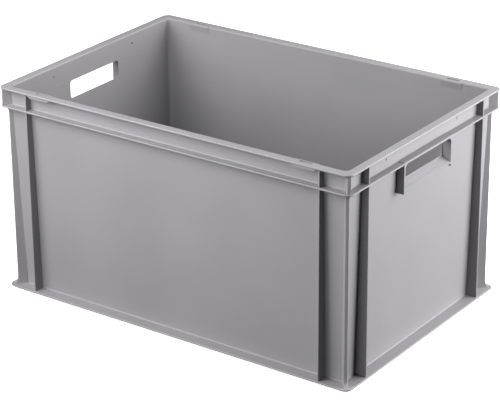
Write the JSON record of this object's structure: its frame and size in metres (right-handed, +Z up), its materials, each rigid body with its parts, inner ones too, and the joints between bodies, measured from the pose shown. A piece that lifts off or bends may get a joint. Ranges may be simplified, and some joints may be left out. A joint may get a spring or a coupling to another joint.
{
  "type": "stacking crate",
  "caption": "Rectangular open-top stacking crate with smooth closed walls, ribbed corners, a rim and flanges all round, a hand grip in each end and a foot that nests in the rim below.",
  "frame": {"origin": "middle of the footprint, on the plane the crate stands on", "axes": "+X along the long side, +Y along the short side, +Z up towards the open top"},
  "size_m": [0.6, 0.4, 0.32],
  "materials": {
    "moulded_plastic": "fine matte moulded polypropylene, neutral light grey"
  },
  "bodies": {
    "root": {"band_corner_fin_back_left": "moulded_plastic", "band_corner_fin_back_right": "moulded_plastic", "band_corner_fin_front_left": "moulded_plastic", "band_corner_fin_front_right": "moulded_plastic", "band_long_side_rib_back_left": "moulded_plastic", "band_long_side_rib_back_right": "moulded_plastic", "band_long_side_rib_front_left": "moulded_plastic", "band_long_side_rib_front_right": "moulded_plastic", "band_short_side_rib_back_left": "moulded_plastic", "band_short_side_rib_back_right": "moulded_plastic", "band_short_side_rib_front_left": "moulded_plastic", "band_short_side_rib_front_right": "moulded_plastic", "band_wall_back": "moulded_plastic", "band_wall_front": "moulded_plastic", "band_wall_left": "moulded_plastic", "band_wall_right": "moulded_plastic", "base_flange_back": "moulded_plastic", "base_flange_front": "moulded_plastic", "base_flange_left": "moulded_plastic", "base_flange_right": "moulded_plastic", "corner_fin_back_left": "moulded_plastic", "corner_fin_back_right": "moulded_plastic", "corner_fin_front_left": "moulded_plastic", "corner_fin_front_right": "moulded_plastic", "floor_panel": "moulded_plastic", "foot_rail_back": "moulded_plastic", "foot_rail_front": "moulded_plastic", "foot_rail_left": "moulded_plastic", "foot_rail_right": "moulded_plastic", "grip_frame_left": "moulded_plastic", "grip_frame_right": "moulded_plastic", "lid_slot_boss_back_left": "moulded_plastic", "lid_slot_boss_back_right": "moulded_plastic", "lid_slot_boss_front_left": "moulded_plastic", "lid_slot_boss_front_right": "moulded_plastic", "long_side_rib_back_left": "moulded_plastic", "long_side_rib_back_right": "moulded_plastic", "long_side_rib_front_left": "moulded_plastic", "long_side_rib_front_right": "moulded_plastic", "middle_flange_back": "moulded_plastic", "middle_flange_front": "moulded_plastic", "middle_flange_left": "moulded_plastic", "middle_flange_right": "moulded_plastic", "rim_back": "moulded_plastic", "rim_front": "moulded_plastic", "rim_left": "moulded_plastic", "rim_right": "moulded_plastic", "short_side_rib_back_left": "moulded_plastic", "short_side_rib_back_right": "moulded_plastic", "short_side_rib_front_left": "moulded_plastic", "short_side_rib_front_right": "moulded_plastic", "underside_grid": "moulded_plastic", "wall_back": "moulded_plastic", "wall_front": "moulded_plastic", "wall_left": "moulded_plastic", "wall_right": "moulded_plastic"}
  },
  "joints": []
}
